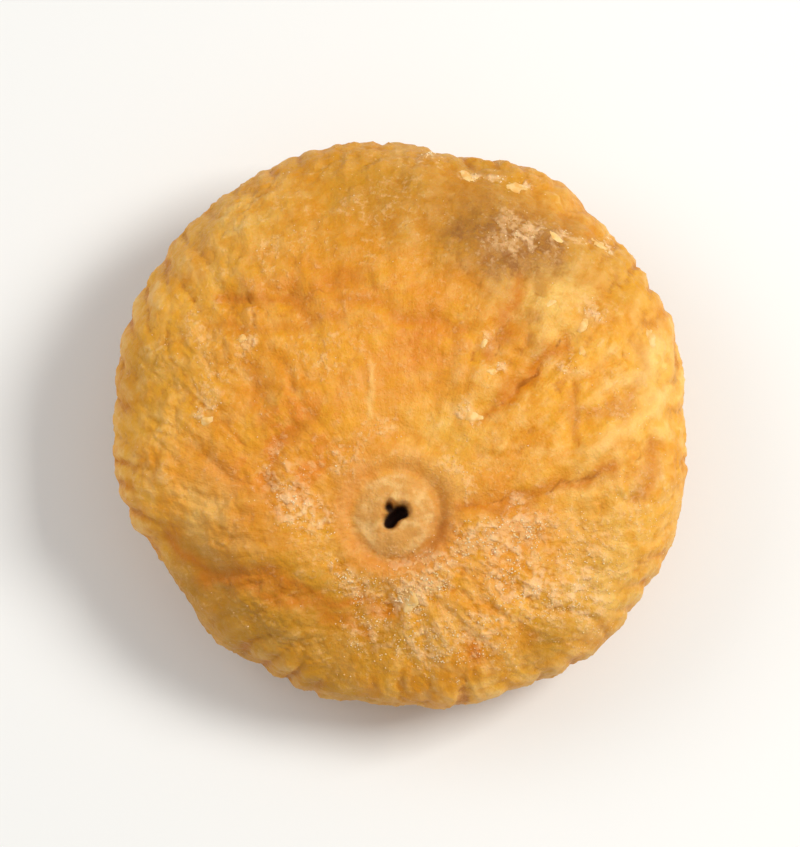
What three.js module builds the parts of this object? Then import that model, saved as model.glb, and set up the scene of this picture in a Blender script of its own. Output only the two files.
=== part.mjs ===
// A dried fig of the flat, pressed kind, lying on its underside, as one solid.
// Millimetres, +Z up. The origin is under the middle of the fig, on the surface that it rests on.
// -Y is the front, where the stem scar lies on the top face. +Y is the thicker back.
import * as THREE from "three";

// Driving dimensions
const WIDTH = 50.2; // left to right
const DEPTH = 49; // front to back
const HEIGHT = 18.7; // of the smooth form, at its middle
const RIM_HEIGHT = 8.7; // the widest line, above the surface
const PRESSED = 0.35; // how much of the rounded underside was pressed flat
const SHOULDER = 2.4; // how full the top is: 2 is an ellipsoid, more is a flatter top
const BELLY = 2.7; // the same for the underside
const SIDE = 2.4; // how upright the side is: 2 is an ellipsoid, more is a more upright side
const FLAT_SPOT = { x: 0, y: -1.5, inner: 6, outer: 10 }; // radii within which the relief fades out
const STEM = { x: -0.6, y: -10.2 }; // middle of the stem scar, on the top
const EYE = { x: 1.6, y: 11.5 }; // middle of the eye, on the underside

// Unevenness of the whole form
const CORNERS = 0.014; // how much the plan is squared off, as a share of its radius
const BACK_RISE = 0.16; // how much higher the back is than the front, as a share of the top's height
const RIM_WAVES = [
  { height: 0.7, count: 1, turn: -2.1 },
  { height: 0.55, count: 2, turn: 0.9 },
];

// Stem scar: a low round mound with a torn hole, a groove round it and a soft ring outside.
// The hole is torn along lines of [x, y] points from the scar's middle. Floor and edge are half widths.
const TEARS = [
  { line: [[-0.55, -0.55], [0.45, 0.3]], floor: 0.25, edge: 0.95, depth: 2.3 },
  { line: [[-0.1, 0], [-0.6, 0.7]], floor: 0.15, edge: 0.75, depth: 1.6 },
];
const SCAR = { top: 1.1, radius: 3.6, rise: 0.65 };
const SCAR_GROOVE = { radius: 3.9, width: 0.55, depth: 0.34, uneven: 0.47, deepestAt: -40 };
const SCAR_RING = { radius: 5.3, width: 0.95, rise: 0.25 };

// Eye: a small pit closed by a ring of scales
const EYE_PIT = { radius: 2.3, floor: 0.8, depth: 1.5 };
const EYE_SCALES = { count: 9, width: 0.8, rise: 0.35, twist: 0.9 };
const EYE_DIMPLE = { radius: 5, depth: 0.4 };

// Pleats of the shrunken skin, which run from the stem scar over the rim to the eye.
// Each range is in degrees down from the scar: [starts, full, still full, ends].
const PLEATS = { count: 52, depth: 0.32, lowDepth: 0.7, deepen: [88, 112], range: [48, 84, 140, 174] };
const INNER_PLEATS = { count: 25, depth: 0.25, range: [17, 38, 55, 78] };
const PLEAT_DRIFT = { size: 9, turns: 2.6 };
const PLEAT_PATCH = { size: 7, least: 0.2, most: 1.2 }; // where pleats are weak and where strong

// Long wrinkles that run the same way, with sharp valleys: how many lie around, from where on they
// start and are full, height, steps from one to the next per radian down, and sway in radians
const RIBS = { count: 40, start: 10, full: 26, height: 0.34, steps: 2.4, sway: 0.06 };
const RIB_PATCH = { size: 5, least: 0.35 }; // where ribs are weak

// Wrinkles and lumps: size of one, and its height
const LUMP = { size: 11, height: 0.9 };
const KNOB = { size: 5.5, height: 0.35 };
const WRINKLE = { size: 3.1, height: 0.35, highest: 0.5, level: 0.2 };
const WRINKLE_PATCH = { size: 9, none: -0.35, full: 0.45 }; // noise values without and with wrinkles

// The skin is smooth close to the scar and the eye: [smooth up to, full relief from]
const CALM_SCAR = [3.4, 7];
const CALM_EYE = [2.5, 5];

// Broad swellings (height above 0) and hollows (below 0) of the top face: [x, y, radius, height]
const SWELLS = [
  [-9, 3, 8, 0.5],
  [17, -7, 6, 0.7],
  [2, 13, 7, 0.45],
  [-15, -12, 5, 0.4],
  [-0.6, -10.2, 8, -0.9],
  [11, 14.5, 5, -0.5],
  [11.5, 7, 4, -0.5],
  [-5, -21, 6, -0.6],
];

// Folds of the top face: their line as [x, y] points, half width, and depth, which is below 0 for a ridge
const CREASES = [
  { line: [[-15.6, 8.9], [-12.6, 7.9], [-10, 8.6], [-8.6, 8.2]], width: 0.95, depth: 0.4 },
  { line: [[-6.1, 10.4], [-3.6, 9.9]], width: 0.9, depth: 0.3 },
  { line: [[-5.8, 8.6], [-1.5, 8.1], [-0.4, 6.7], [3.2, 6.6], [5.2, 5.9]], width: 0.9, depth: 0.3 },
  { line: [[10.3, 9.9], [9.3, 7], [8, 4.7], [7.7, 3.3]], width: 1, depth: 0.55 },
  { line: [[14, 4.9], [11.8, 2.6], [9.6, 0.2], [7.1, -1.6]], width: 1, depth: 0.6 },
  { line: [[14.7, 1.2], [14.5, -3.9]], width: 0.85, depth: 0.3 },
  { line: [[5.2, -9.5], [8.6, -9.3], [12, -8.3], [14, -7.4], [17.4, -6.1]], width: 0.85, depth: 0.4 },
  { line: [[-13.8, 3.4], [-12.5, 1.2], [-12, -0.4]], width: 0.85, depth: 0.3 },
  { line: [[-7.7, -2], [-10.6, -4.3], [-11.6, -7.4]], width: 0.85, depth: 0.3 },
  { line: [[20.3, 4.4], [19.9, 0.9], [18.4, -0.8], [15.6, -1.7]], width: 0.9, depth: 0.3 },
  { line: [[-20.3, -11.2], [-16.4, -14.8], [-11.5, -15.2], [-7, -17.2], [-1, -18]], width: 1.1, depth: 0.5 },
  { line: [[-12.4, -15.9], [-9.5, -17], [-3.6, -19.6]], width: 0.9, depth: 0.35 },
  { line: [[15.7, -4.9], [18.7, -2.7], [21.2, 0.2]], width: 1, depth: -0.4 },
  { line: [[17.4, 0.9], [20.2, 2.6], [21.6, 5.4]], width: 1, depth: -0.35 },
  { line: [[19.2, -8.4], [20.5, -6], [20.9, -3.4]], width: 0.85, depth: 0.35 },
  { line: [[-15.8, 6.2], [-9, 5.9], [-5.2, 6.6]], width: 0.85, depth: 0.25 },
];

// How far a fold wanders from its line, and how unevenly deep it is
const FOLD_WANDER = { size: 2.4, distance: 0.5 };
const FOLD_DEPTH = { size: 4, middle: 0.75, change: 0.5 };
const FOLD_LIP = 0.25; // the raised lip beside a fold, as a share of its depth

// Places where the side is drawn in or swollen: [angle in degrees from +X, half width in degrees, distance]
const SIDE_BENDS = [
  [211, 15, -0.5],
  [306, 32, 1.3],
  [130, 20, 0.6],
  [62, 8, 0.5],
  [38, 11, -0.8],
  [17, 10, 0.3],
];

// Mesh fineness: the rows' ends in degrees down from the scar, and how much closer rows are at
// the scar and the eye
const SPACING_AROUND = 0.95;
const TOP_ROWS = { count: 36, end: 66, closer: 1.6 };
const SIDE_ROWS = { count: 10, end: 120 };
const UNDER_ROWS = { count: 15, closer: 1.6 };
const FEWEST_AROUND = 20;

const TURN = 2 * Math.PI;
const degrees = Math.PI / 180;
const MEAN_NOISE = 0.22; // mean of the noise without its sign

// From 0 to 1, smoothly, as value goes from low to high
function ease(low, high, value) {
  const t = Math.min(1, Math.max(0, (value - low) / (high - low)));
  return t * t * (3 - 2 * t);
}

function bell(distance, width) {
  return Math.exp(-((distance / width) ** 2));
}

// A number made from four whole numbers, which looks random and is always the same
function scramble(i, j, k, seed) {
  let h = Math.imul(i, 0x165667b1) ^ Math.imul(j, 0x27d4eb2f);
  h ^= Math.imul(k, 0x1b873593) ^ Math.imul(seed, 0x2c1b3c6d);
  h = Math.imul(h ^ (h >>> 15), 0x2c1b3c6d);
  h = Math.imul(h ^ (h >>> 12), 0x297a2d39);
  return (h ^ (h >>> 15)) >>> 0;
}

// Gradient noise, about -1 to 1, with bumps about one unit across
function noise(x, y, z, seed) {
  const i = Math.floor(x);
  const j = Math.floor(y);
  const k = Math.floor(z);
  let sum = 0;
  for (let corner = 0; corner < 8; corner++) {
    const di = corner & 1;
    const dj = (corner >> 1) & 1;
    const dk = corner >> 2;
    const [u, v, w] = [x - i - di, y - j - dj, z - k - dk];
    const h = scramble(i + di, j + dj, k + dk, seed);
    const slope = (h & 1 ? u : -u) + (h & 2 ? v : -v) + (h & 4 ? w : -w);
    sum += slope * fade(1 - Math.abs(u)) * fade(1 - Math.abs(v)) * fade(1 - Math.abs(w));
  }
  return sum;
}

function fade(t) {
  return t * t * t * (t * (6 * t - 15) + 10);
}

function noiseAt(p, size, seed) {
  return noise(p.x / size, p.y / size, p.z / size, seed);
}

// Half the fig's width in the direction angle, with the bends of its side
function planRadius(angle) {
  let radius = (WIDTH * DEPTH) / 2 / Math.hypot(DEPTH * Math.cos(angle), WIDTH * Math.sin(angle));
  radius *= 1 - CORNERS * Math.cos(4 * angle);
  for (const [at, halfWidth, distance] of SIDE_BENDS) {
    const away = Math.atan2(Math.sin(angle - at * degrees), Math.cos(angle - at * degrees));
    radius += distance * bell(away, halfWidth * degrees);
  }
  return radius;
}

// How far a unit sphere's pole leans, so that it comes out at that spot of the fig
function poleLean(spot, fullness) {
  const angle = Math.atan2(spot.y, spot.x);
  const share = Math.hypot(spot.x, spot.y) / planRadius(angle);
  const lean = Math.tan(Math.asin(share ** (fullness / 2)));
  return { x: lean * Math.cos(angle), y: lean * Math.sin(angle) };
}

const STEM_LEAN = poleLean(STEM, SHOULDER);
const EYE_LEAN = poleLean(EYE, BELLY);

// The smooth fig. down goes from 0 at the stem scar through 90 degrees at the rim to 180 at the eye,
// and around is the angle about them. Gives the point, the way out of the skin there, and how far up
// the direction points.
function smoothFig(down, around) {
  const level = Math.cos(down);
  const isTop = level > 0;
  const lean = isTop ? STEM_LEAN : EYE_LEAN;
  const pull = Math.abs(level) ** 1.5;
  const out = new THREE.Vector3(
    Math.sin(down) * Math.cos(around) + lean.x * pull,
    Math.sin(down) * Math.sin(around) + lean.y * pull,
    level,
  ).normalize();
  const angle = Math.atan2(out.y, out.x);
  const fullness = isTop ? SHOULDER : BELLY;
  const share = Math.min(1, Math.hypot(out.x, out.y)) ** (2 / fullness);
  const radius = planRadius(angle);
  let middle = RIM_HEIGHT;
  for (const { height, count, turn } of RIM_WAVES) {
    middle += height * Math.cos(count * angle + turn) * share ** 2;
  }
  const topRise = (HEIGHT - RIM_HEIGHT) * (1 + BACK_RISE * share * Math.sin(angle));
  const rise = isTop ? topRise : RIM_HEIGHT + PRESSED;
  const climb = Math.abs(out.z) ** (2 / SIDE);
  const sign = isTop ? 1 : -1;
  const point = new THREE.Vector3(
    radius * share * Math.cos(angle),
    radius * share * Math.sin(angle),
    middle + sign * rise * climb,
  );
  const sideways = (fullness * share ** (fullness - 1)) / radius;
  const normal = new THREE.Vector3(
    sideways * Math.cos(angle),
    sideways * Math.sin(angle),
    (sign * SIDE * climb ** (SIDE - 1)) / rise,
  ).normalize();
  return { point, normal, up: out.z };
}

function distanceToLine(x, y, line) {
  let nearest = Infinity;
  for (let i = 1; i < line.length; i++) {
    const [[x0, y0], [x1, y1]] = [line[i - 1], line[i]];
    const [dx, dy] = [x1 - x0, y1 - y0];
    const along = Math.min(1, Math.max(0, ((x - x0) * dx + (y - y0) * dy) / (dx * dx + dy * dy)));
    nearest = Math.min(nearest, Math.hypot(x - x0 - along * dx, y - y0 - along * dy));
  }
  return nearest;
}

// Swellings and folds of the top face
function topForms(p, up) {
  let height = 0;
  for (const [x, y, radius, rise] of SWELLS) height += rise * bell(Math.hypot(p.x - x, p.y - y), radius);
  const wander = FOLD_WANDER.distance * noiseAt(p, FOLD_WANDER.size, 11);
  const uneven = FOLD_DEPTH.middle + FOLD_DEPTH.change * noiseAt(p, FOLD_DEPTH.size, 12);
  for (const { line, width, depth } of CREASES) {
    const away = distanceToLine(p.x + wander, p.y - wander, line);
    height += depth * uneven * (FOLD_LIP * bell(away - 2 * width, width) - bell(away, width));
  }
  return height * ease(0.05, 0.4, up);
}

// 0 outside a range of degrees and 1 in its middle part
function within([start, full, stillFull, end], angle) {
  return ease(start * degrees, full * degrees, angle) * ease(end * degrees, stillFull * degrees, angle);
}

// One row of pleats: round backs with sharp valleys between them, about their mean height
function scallop(count, around, drift) {
  return Math.abs(Math.sin((count * around) / 2 + drift)) - 2 / Math.PI;
}

// All pleats, uneven as on a shrunken skin, and deeper below the widest line
function pleats(down, around, p) {
  const drift = PLEAT_DRIFT.turns * noiseAt(p, PLEAT_DRIFT.size, 21);
  const outer = within(PLEATS.range, down) * scallop(PLEATS.count, around, drift);
  const inner = within(INNER_PLEATS.range, down) * scallop(INNER_PLEATS.count, around, -drift);
  const low = ease(PLEATS.deepen[0] * degrees, PLEATS.deepen[1] * degrees, down);
  const depth = PLEATS.depth + (PLEATS.lowDepth - PLEATS.depth) * low;
  const strong = ease(-0.4, 0.4, noiseAt(p, PLEAT_PATCH.size, 22));
  const uneven = PLEAT_PATCH.least + (PLEAT_PATCH.most - PLEAT_PATCH.least) * strong;
  return uneven * (depth * outer + INNER_PLEATS.depth * inner);
}

function ribs(down, around, p) {
  const swung = around + RIBS.sway * noiseAt(p, RIB_PATCH.size, 43);
  const radius = RIBS.count / TURN;
  const wave = noise(radius * Math.cos(swung), radius * Math.sin(swung), RIBS.steps * down, 44);
  const strong = ease(-0.4, 0.4, noiseAt(p, RIB_PATCH.size, 42));
  const patch = RIB_PATCH.least + (1 - RIB_PATCH.least) * strong;
  const grown = ease(RIBS.start * degrees, RIBS.full * degrees, down);
  return RIBS.height * patch * grown * (Math.abs(wave) - MEAN_NOISE);
}

// Lumps and wrinkles. A wrinkle's valleys are sharp and its back is round.
function skin(p) {
  const rough = ease(WRINKLE_PATCH.none, WRINKLE_PATCH.full, noiseAt(p, WRINKLE_PATCH.size, 33));
  const wrinkle = Math.min(WRINKLE.highest, Math.abs(noiseAt(p, WRINKLE.size, 34))) - WRINKLE.level;
  return (
    LUMP.height * noiseAt(p, LUMP.size, 31) +
    KNOB.height * noiseAt(p, KNOB.size, 32) +
    WRINKLE.height * rough * wrinkle
  );
}

// x and y are measured from the scar's middle
function stemScar(x, y) {
  const away = Math.hypot(x, y);
  const mound = SCAR.rise * (1 - ease(SCAR.top, SCAR.radius, away));
  const ring = SCAR_RING.rise * bell(away - SCAR_RING.radius, SCAR_RING.width);
  const turned = Math.atan2(y, x) - SCAR_GROOVE.deepestAt * degrees;
  const grooveDepth = SCAR_GROOVE.depth * (1 + SCAR_GROOVE.uneven * Math.cos(turned));
  const groove = grooveDepth * bell(away - SCAR_GROOVE.radius, SCAR_GROOVE.width);
  let hole = 0;
  for (const { line, floor, edge, depth } of TEARS) {
    hole = Math.max(hole, depth * (1 - ease(floor, edge, distanceToLine(x, y, line))));
  }
  return mound + ring - groove - hole;
}

function eye(away, around) {
  const scale = Math.abs(Math.sin((EYE_SCALES.count * around) / 2 + EYE_SCALES.twist * away));
  const scales = EYE_SCALES.rise * scale * bell(away - EYE_PIT.radius, EYE_SCALES.width);
  const pit = EYE_PIT.depth * (1 - ease(EYE_PIT.floor, EYE_PIT.radius, away));
  return scales - pit - EYE_DIMPLE.depth * bell(away, EYE_DIMPLE.radius);
}

// A point of the finished skin
function figPoint(down, around) {
  const { point, normal, up } = smoothFig(down, around);
  const isTop = up > 0;
  const middle = isTop ? STEM : EYE;
  const away = Math.hypot(point.x - middle.x, point.y - middle.y);
  const [smoothTo, fullFrom] = isTop ? CALM_SCAR : CALM_EYE;
  const calm = ease(smoothTo, fullFrom, away);
  let height = calm * (skin(point) + pleats(down, around, point) + ribs(down, around, point));
  if (isTop) height += topForms(point, up) + stemScar(point.x - STEM.x, point.y - STEM.y);
  else height += eye(away, around);
  const fromFlat = Math.hypot(point.x - FLAT_SPOT.x, point.y - FLAT_SPOT.y);
  const flat = isTop ? 0 : 1 - ease(FLAT_SPOT.inner, FLAT_SPOT.outer, fromFlat);
  const skinPoint = point.addScaledVector(normal, height * (1 - flat));
  skinPoint.z = Math.max(0, skinPoint.z);
  return skinPoint;
}

// The rows of the mesh, as angles down from the stem scar to the eye
function rowAngles() {
  const rows = [];
  for (let i = 1; i <= TOP_ROWS.count; i++) {
    rows.push(TOP_ROWS.end * (i / TOP_ROWS.count) ** TOP_ROWS.closer);
  }
  for (let i = 1; i <= SIDE_ROWS.count; i++) {
    rows.push(TOP_ROWS.end + ((SIDE_ROWS.end - TOP_ROWS.end) * i) / SIDE_ROWS.count);
  }
  for (let i = 1; i < UNDER_ROWS.count; i++) {
    rows.push(180 - (180 - SIDE_ROWS.end) * (1 - i / UNDER_ROWS.count) ** UNDER_ROWS.closer);
  }
  return rows.map((row) => row * degrees);
}

// The fig's skin as rings of points about the stem scar and the eye, with as many points as each ring needs
function figGeometry() {
  const positions = [];
  const faces = [];
  const rings = rowAngles().map((down) => {
    const fullness = down < Math.PI / 2 ? SHOULDER : BELLY;
    const length = (TURN * Math.sin(down) ** (2 / fullness) * (WIDTH + DEPTH)) / 4;
    const count = Math.max(FEWEST_AROUND, Math.round(length / SPACING_AROUND));
    const start = positions.length / 3;
    for (let i = 0; i < count; i++) positions.push(...figPoint(down, (TURN * i) / count).toArray());
    return { start, count };
  });
  const top = positions.length / 3;
  positions.push(...figPoint(0, 0).toArray(), ...figPoint(Math.PI, 0).toArray());
  fan(faces, top, rings[0], false);
  for (let i = 1; i < rings.length; i++) zip(faces, rings[i - 1], rings[i]);
  fan(faces, top + 1, rings.at(-1), true);
  const geometry = new THREE.BufferGeometry();
  geometry.setAttribute("position", new THREE.Float32BufferAttribute(positions, 3));
  geometry.setIndex(faces);
  geometry.computeBoundingBox();
  const middle = geometry.boundingBox.getCenter(new THREE.Vector3());
  geometry.translate(-middle.x, -middle.y, 0);
  geometry.computeVertexNormals();
  return geometry;
}

// Closes a ring onto one point
function fan(faces, tip, ring, isUnder) {
  for (let i = 0; i < ring.count; i++) {
    const here = ring.start + i;
    const next = ring.start + ((i + 1) % ring.count);
    faces.push(...(isUnder ? [tip, next, here] : [tip, here, next]));
  }
}

// Joins two rings that may have different numbers of points, always with the shorter step next
function zip(faces, upper, lower) {
  let [i, j] = [0, 0];
  while (i < upper.count || j < lower.count) {
    const a = upper.start + (i % upper.count);
    const b = lower.start + (j % lower.count);
    const stepUpper = j >= lower.count || (i < upper.count && (i + 1) / upper.count < (j + 1) / lower.count);
    if (stepUpper) faces.push(a, b, upper.start + (++i % upper.count));
    else faces.push(a, b, lower.start + (++j % lower.count));
  }
}

const figSkin = new THREE.MeshStandardMaterial({ color: 0xd99a45, roughness: 0.55, metalness: 0 });
const fig = new THREE.Mesh(figGeometry(), figSkin);
fig.name = "fig";

const part = new THREE.Group();
part.add(fig);

export default part;
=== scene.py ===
# %% [markdown]
# # A dried fig
# A dried fig is a ripe fruit that lost most of its water in the sun and was then pressed flat.
# Its skin had to shrink with it, so it lies in pleats, wrinkles and thin cracks, and fruit sugar
# came out on it in pale grains. This lesson makes one such fig, 5 cm across, in small steps:
# its form from formulas, its fine relief, its colours, the sugar, the eye underneath, and the light.

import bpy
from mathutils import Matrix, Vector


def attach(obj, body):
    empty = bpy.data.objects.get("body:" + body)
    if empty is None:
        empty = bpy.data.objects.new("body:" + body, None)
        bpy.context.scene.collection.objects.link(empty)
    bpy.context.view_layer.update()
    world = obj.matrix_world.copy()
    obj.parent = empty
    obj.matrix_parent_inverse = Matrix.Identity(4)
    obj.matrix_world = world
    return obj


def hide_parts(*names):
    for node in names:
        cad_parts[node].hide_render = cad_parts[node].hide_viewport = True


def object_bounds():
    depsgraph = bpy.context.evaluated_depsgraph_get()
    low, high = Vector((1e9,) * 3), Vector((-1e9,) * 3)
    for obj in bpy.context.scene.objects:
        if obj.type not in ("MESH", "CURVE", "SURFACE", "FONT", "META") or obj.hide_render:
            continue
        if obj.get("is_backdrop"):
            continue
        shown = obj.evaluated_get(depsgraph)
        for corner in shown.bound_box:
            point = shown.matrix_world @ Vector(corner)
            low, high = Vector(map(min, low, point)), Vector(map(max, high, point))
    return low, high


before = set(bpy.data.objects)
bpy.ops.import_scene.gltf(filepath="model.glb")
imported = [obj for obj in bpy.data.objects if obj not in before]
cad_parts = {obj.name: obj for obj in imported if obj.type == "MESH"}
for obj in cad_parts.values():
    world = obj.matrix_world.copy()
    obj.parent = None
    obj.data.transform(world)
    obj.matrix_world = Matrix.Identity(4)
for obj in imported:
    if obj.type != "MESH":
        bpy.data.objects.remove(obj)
cad_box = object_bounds()
print("the solid fig's box, in metres:", [[round(float(v), 4) for v in corner] for corner in cad_box])

# %% [markdown]
# ## Tools
# Blender's own modules give objects and materials. The form is worked out with numpy instead,
# because it treats all the points of the skin at once and needs no loop over them.

# %% Import the tools
import math

import bpy
import numpy as np
from mathutils import Vector

MM = 0.001
print("Blender", bpy.app.version_string)

# %% [markdown]
# ## The fig's main form
# The plain form is a sphere pressed into a thick disc. It could be sculpted by hand, or a ball could
# be squashed with modifiers. Formulas are used here, because the solid fig is made by the same ones,
# so the fine skin lies exactly where the solid is. All lengths are in millimetres.

# %% Write down the fig's sizes
WIDTH, DEPTH, HEIGHT = 50.2, 49, 18.7
RIM_HEIGHT = 8.7  # the widest line, above the surface
PRESSED = 0.35  # how much of the rounded underside was pressed flat
SHOULDER, BELLY, SIDE = 2.4, 2.7, 2.4  # how full top, underside and side are: 2 is an ellipsoid
FLAT_SPOT = {"x": 0, "y": -1.5, "inner": 6, "outer": 10}
STEM = (-0.6, -10.2)  # middle of the stem scar, on the top
EYE = (1.6, 11.5)  # middle of the eye, on the underside
CORNERS = 0.014  # how much the plan is squared off, as a share of its radius
BACK_RISE = 0.16  # how much higher the back is than the front, as a share of the top's height
LEAN_FADE = 1.5  # how fast the poles' lean fades towards the rim
RIM_WAVES = [(0.7, 1, -2.1), (0.55, 2, 0.9)]  # height, count, turn
SIDE_BENDS = [  # angle in degrees from +X, half width in degrees, distance
    (211, 15, -0.5),
    (306, 32, 1.3),
    (130, 20, 0.6),
    (62, 8, 0.5),
    (38, 11, -0.8),
    (17, 10, 0.3),
]
print("smooth form:", WIDTH, "x", DEPTH, "x", HEIGHT, "mm")

# %% [markdown]
# ## Randomness that is always the same
# Wrinkles need chance, but the fig has to be the same in each run. Gradient noise gives both: each
# corner of an invisible grid gets a slope from a number that is scrambled from its place, and the
# slopes are blended in between. The last number given to the noise is its seed: another seed gives
# another pattern. `ease` and `bell` are two soft switches that shape everything else.

# %% Make the noise
SPREAD_X, SPREAD_Y, SPREAD_Z = 0x165667B1, 0x27D4EB2F, 0x1B873593  # odd numbers that mix bits well
SPREAD_SEED, SPREAD_AGAIN = 0x2C1B3C6D, 0x297A2D39
ALL_BITS = 0xFFFFFFFF
MEAN_NOISE = 0.22  # mean of the noise without its sign


def ease(low, high, value):
    t = np.clip((value - low) / (high - low), 0, 1)
    return t * t * (3 - 2 * t)


def bell(distance, width):
    return np.exp(-((distance / width) ** 2))


def scramble(i, j, k, seed):
    u = np.uint32
    with np.errstate(over="ignore"):
        h = i * u(SPREAD_X) ^ j * u(SPREAD_Y)
        h ^= k * u(SPREAD_Z) ^ u(seed * SPREAD_SEED & ALL_BITS)
        h = (h ^ (h >> u(15))) * u(SPREAD_SEED)
        h = (h ^ (h >> u(12))) * u(SPREAD_AGAIN)
    return h ^ (h >> u(15))


def fade(t):
    return t * t * t * (t * (6 * t - 15) + 10)


def noise(x, y, z, seed):
    i, j, k = (np.floor(c).astype(np.int64) for c in (x, y, z))
    total = np.zeros_like(x)
    for corner in range(8):
        di, dj, dk = corner & 1, (corner >> 1) & 1, corner >> 2
        u, v, w = x - i - di, y - j - dj, z - k - dk
        whole = ((c & ALL_BITS).astype(np.uint32) for c in (i + di, j + dj, k + dk))
        h = scramble(*whole, seed)
        slope = np.where(h & 1, u, -u) + np.where(h & 2, v, -v) + np.where(h & 4, w, -w)
        total += slope * fade(1 - np.abs(u)) * fade(1 - np.abs(v)) * fade(1 - np.abs(w))
    return total


def noise_at(p, size, seed):
    return noise(p[:, 0] / size, p[:, 1] / size, p[:, 2] / size, seed)


def bumps(p, height, size, seed):
    return height * noise_at(p, size, seed)


def crinkles(p, height, size, seed):
    return height * (np.abs(noise_at(p, size, seed)) - MEAN_NOISE)


def patches(p, size, seed, weak=-0.4, strong=0.4, least=0):
    return least + (1 - least) * ease(weak, strong, noise_at(p, size, seed))


sample = noise_at(np.random.default_rng(1).uniform(-25, 25, (5000, 3)), 3, 31)
print("noise runs from", round(float(sample.min()), 2), "to", round(float(sample.max()), 2))

# %% [markdown]
# ## From a sphere to a smooth fig
# Every point of the skin has an address: how far *down* it is from the stem scar, in radians, and how
# far *around*. The sphere's poles lean so that the upper one comes out at the stem scar and the lower
# one at the eye. Pleats that follow these addresses then run from scar to eye, as on the real fruit.

# %% Make the smooth fig
def plan_radius(angle):
    radius = WIDTH * DEPTH / 2 / np.hypot(DEPTH * np.cos(angle), WIDTH * np.sin(angle))
    radius = radius * (1 - CORNERS * np.cos(4 * angle))
    for at, half_width, distance in SIDE_BENDS:
        turned = angle - math.radians(at)
        away = np.arctan2(np.sin(turned), np.cos(turned))
        radius = radius + distance * bell(away, math.radians(half_width))
    return radius


def pole_lean(spot, fullness):
    angle = math.atan2(spot[1], spot[0])
    share = math.hypot(*spot) / plan_radius(angle)
    lean = math.tan(math.asin(share ** (fullness / 2)))
    return [lean * math.cos(angle), lean * math.sin(angle)]


def smooth_fig(down, around):
    level = np.cos(down)
    is_top = level > 0
    lean = np.where(is_top[:, None], pole_lean(STEM, SHOULDER), pole_lean(EYE, BELLY))
    pull = np.abs(level) ** LEAN_FADE
    x = np.sin(down) * np.cos(around) + lean[:, 0] * pull
    y = np.sin(down) * np.sin(around) + lean[:, 1] * pull
    length = np.sqrt(x * x + y * y + level * level)
    x, y, up = x / length, y / length, level / length
    angle = np.arctan2(y, x)
    fullness = np.where(is_top, SHOULDER, BELLY)
    share = np.minimum(1, np.hypot(x, y)) ** (2 / fullness)
    radius = plan_radius(angle)
    waves = sum(height * np.cos(count * angle + turn) for height, count, turn in RIM_WAVES)
    top_rise = (HEIGHT - RIM_HEIGHT) * (1 + BACK_RISE * share * np.sin(angle))
    rise = np.where(is_top, top_rise, RIM_HEIGHT + PRESSED)
    climb = np.abs(up) ** (2 / SIDE)
    sign = np.where(is_top, 1, -1)
    z = RIM_HEIGHT + waves * share**2 + sign * rise * climb
    point = np.stack([radius * share * np.cos(angle), radius * share * np.sin(angle), z], axis=1)
    sideways = fullness * share ** (fullness - 1) / radius
    upward = sign * SIDE * climb ** (SIDE - 1) / rise
    normal = np.stack([sideways * np.cos(angle), sideways * np.sin(angle), upward], axis=1)
    return point, normal / np.linalg.norm(normal, axis=1)[:, None], up


top_point = smooth_fig(np.array([0.01]), np.array([0.0]))[0][0]
print("the stem scar's place on the smooth fig, in mm:", top_point.round(2))

# %% [markdown]
# ## Swellings and folds
# The broad folds are where the dried flesh gave way under the press, and between them it swells. They
# could be sculpted with a brush. Here a swelling is a soft round bell, and a fold is a line of a few
# points with a valley along it. Both are heights that are added along the way out of the skin.

# %% Make swellings and folds
SWELLS = [  # x, y, radius, height
    (-9, 3, 8, 0.5),
    (17, -7, 6, 0.7),
    (2, 13, 7, 0.45),
    (-15, -12, 5, 0.4),
    (-0.6, -10.2, 8, -0.9),
    (11, 14.5, 5, -0.5),
    (11.5, 7, 4, -0.5),
    (-5, -21, 6, -0.6),
]
CREASES = [  # points of the line, half width, and depth, which is below 0 for a ridge
    ([(-15.6, 8.9), (-12.6, 7.9), (-10, 8.6), (-8.6, 8.2)], 0.95, 0.4),
    ([(-6.1, 10.4), (-3.6, 9.9)], 0.9, 0.3),
    ([(-5.8, 8.6), (-1.5, 8.1), (-0.4, 6.7), (3.2, 6.6), (5.2, 5.9)], 0.9, 0.3),
    ([(10.3, 9.9), (9.3, 7), (8, 4.7), (7.7, 3.3)], 1, 0.55),
    ([(14, 4.9), (11.8, 2.6), (9.6, 0.2), (7.1, -1.6)], 1, 0.6),
    ([(14.7, 1.2), (14.5, -3.9)], 0.85, 0.3),
    ([(5.2, -9.5), (8.6, -9.3), (12, -8.3), (14, -7.4), (17.4, -6.1)], 0.85, 0.4),
    ([(-13.8, 3.4), (-12.5, 1.2), (-12, -0.4)], 0.85, 0.3),
    ([(-7.7, -2), (-10.6, -4.3), (-11.6, -7.4)], 0.85, 0.3),
    ([(20.3, 4.4), (19.9, 0.9), (18.4, -0.8), (15.6, -1.7)], 0.9, 0.3),
    ([(-20.3, -11.2), (-16.4, -14.8), (-11.5, -15.2), (-7, -17.2), (-1, -18)], 1.1, 0.5),
    ([(-12.4, -15.9), (-9.5, -17), (-3.6, -19.6)], 0.9, 0.35),
    ([(15.7, -4.9), (18.7, -2.7), (21.2, 0.2)], 1, -0.4),
    ([(17.4, 0.9), (20.2, 2.6), (21.6, 5.4)], 1, -0.35),
    ([(19.2, -8.4), (20.5, -6), (20.9, -3.4)], 0.85, 0.35),
    ([(-15.8, 6.2), (-9, 5.9), (-5.2, 6.6)], 0.85, 0.25),
]
FOLD_WANDER = {"size": 2.4, "distance": 0.5}
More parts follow.
